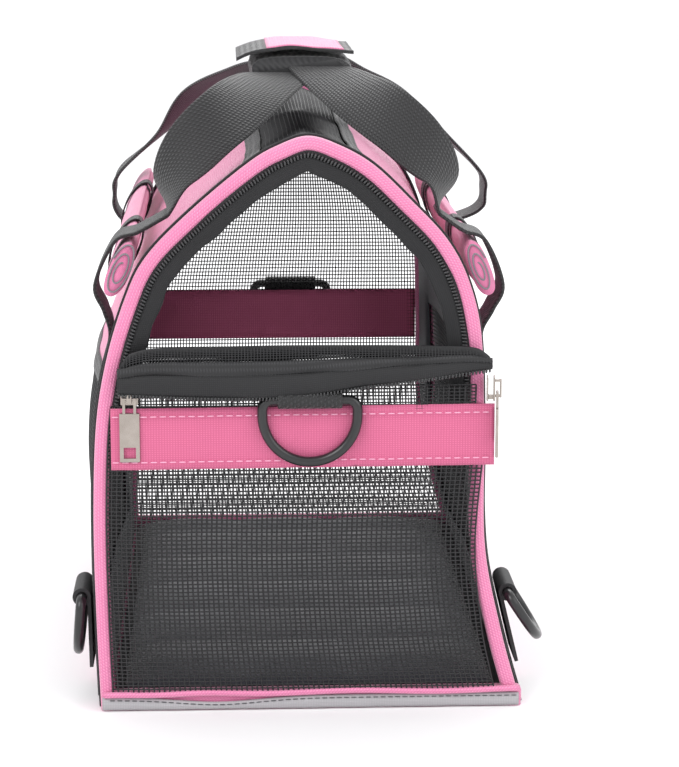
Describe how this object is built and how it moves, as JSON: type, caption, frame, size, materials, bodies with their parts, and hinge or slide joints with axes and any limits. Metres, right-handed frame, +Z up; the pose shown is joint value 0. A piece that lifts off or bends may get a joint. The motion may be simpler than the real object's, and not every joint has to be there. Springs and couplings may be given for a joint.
{
  "type": "pet carrier bag",
  "caption": "Soft-sided pet carrier bag with arched mesh ends, a rolled-down front door flap, side mesh windows and webbing carrying handles.",
  "frame": {"origin": "middle of the bounding box, on the surface the bag stands on", "axes": "+Z up, length along Y, the open front door faces -Y, +X to the right when looking in through the door"},
  "size_m": [0.2888, 0.4598, 0.3859],
  "materials": {
    "pink_polyester": "plain woven polyester, slightly coated",
    "pink_hem": "twill-faced padded hem",
    "pink_band": "woven polyester band with white-pink stitching",
    "black_mesh": "open coated mesh",
    "black_mesh_fold": "folded mesh and tape",
    "zip_tape": "woven zip tape",
    "zip_coil": "nylon coil, slight gloss",
    "black_piping": "thin cord piping",
    "black_binding": "folded binding",
    "black_webbing": "ribbed polypropylene webbing",
    "spring_steel": "flat spring strip",
    "base_board": "stiff board",
    "mat_fleece": "quilted fleece",
    "reflective_tape": "grey reflective tape, satin",
    "black_plastic": "moulded acetal, soft gloss",
    "nickel": "nickel plated die casting",
    "lining": "dark blue-grey lining cloth"
  },
  "bodies": {
    "bag": {"base_panel": "pink_polyester", "base_board": "base_board", "floor_mat": "mat_fleece", "front_base_hem": "pink_polyester", "rear_base_hem": "pink_polyester", "front_base_piping": "pink_hem", "front_reflective_strip": "reflective_tape", "front_arch_hem": "pink_hem", "front_arch_bone": "spring_steel", "rear_arch_hem": "pink_hem", "rear_arch_bone": "spring_steel", "front_piping": "black_piping", "roof_mesh": "black_mesh", "side_wall_left": "pink_polyester", "lining_left": "lining", "roof_left": "pink_polyester", "side_mesh_left": "black_mesh", "window_binding_left": "black_binding", "side_wall_right": "pink_polyester", "lining_right": "lining", "roof_right": "pink_polyester", "side_mesh_right": "black_mesh", "window_binding_right": "black_binding", "cover_roll_left": "pink_polyester", "cover_ties_left": "black_webbing", "cover_roll_right": "pink_polyester", "cover_ties_right": "black_webbing", "front_mesh": "black_mesh", "front_band": "pink_band", "front_zip_tape": "zip_tape", "front_zip_coil": "zip_coil", "rear_mesh": "black_mesh", "rear_band": "pink_band", "flap_skirt": "black_mesh", "front_ring_loop": "black_webbing", "rear_ring_loop": "black_webbing", "side_ring_tab_left": "black_webbing", "side_ring_tab_right": "black_webbing", "side_strap_front_left": "black_webbing", "side_strap_rear_left": "black_webbing", "handle_left": "black_webbing", "side_strap_front_right": "black_webbing", "side_strap_rear_right": "black_webbing", "handle_right": "black_webbing", "grip_wrap": "black_binding"},
    "front_flap": {"flap_roll": "black_mesh_fold"},
    "front_ring": {"front_d_ring": "black_plastic"},
    "rear_ring": {"rear_d_ring": "black_plastic"},
    "side_ring_left": {"side_d_ring_left": "black_plastic"},
    "side_ring_right": {"side_d_ring_right": "black_plastic"},
    "zip_slider_left": {"slider_left": "nickel"},
    "zip_slider_right": {"slider_right": "nickel"},
    "zip_puller_left": {"puller_left": "nickel"},
    "zip_puller_right": {"puller_right": "nickel"},
    "grip_cover": {"grip_flap": "black_binding", "grip_patch": "pink_polyester"}
  },
  "joints": [
    {"name": "flap_tip", "type": "hinge", "parent": "bag", "child": "front_flap", "pos_m": [0, -0.2285, 0.1975], "axis": [1, 0, 0], "range_deg": [0, 90]},
    {"name": "front_ring_swing", "type": "hinge", "parent": "bag", "child": "front_ring", "pos_m": [0, -0.2253, 0.191], "axis": [-1, 0, 0], "range_deg": [0, 85]},
    {"name": "rear_ring_swing", "type": "hinge", "parent": "bag", "child": "rear_ring", "pos_m": [0, 0.2243, 0.191], "axis": [1, 0, 0], "range_deg": [0, 150]},
    {"name": "side_ring_swing_left", "type": "hinge", "parent": "bag", "child": "side_ring_left", "pos_m": [-0.13725, -0.182, 0.066], "axis": [0, 1, 0], "range_deg": [0, 120]},
    {"name": "side_ring_swing_right", "type": "hinge", "parent": "bag", "child": "side_ring_right", "pos_m": [0.12074, -0.182, 0.066], "axis": [0, -1, 0], "range_deg": [-15, 80]},
    {"name": "slider_travel_left", "type": "slide", "parent": "bag", "child": "zip_slider_left", "axis": [0, 0, 1], "range_m": [0, 0.005]},
    {"name": "slider_travel_right", "type": "slide", "parent": "bag", "child": "zip_slider_right", "axis": [0, 0, 1], "range_m": [0, 0.005]},
    {"name": "puller_swing_left", "type": "hinge", "parent": "zip_slider_left", "child": "zip_puller_left", "pos_m": [-0.1059, -0.2233, 0.1922], "axis": [-1, 0, 0], "range_deg": [0, 140]},
    {"name": "puller_swing_right", "type": "hinge", "parent": "zip_slider_right", "child": "zip_puller_right", "pos_m": [0.11049, -0.22394, 0.1942], "axis": [-0.1045, -0.9945, 0], "range_deg": [0, 140]},
    {"name": "grip_cover_open", "type": "hinge", "parent": "bag", "child": "grip_cover", "pos_m": [0.033, 0, 0.3823], "axis": [0, 1, 0], "range_deg": [0, 150]}
  ]
}
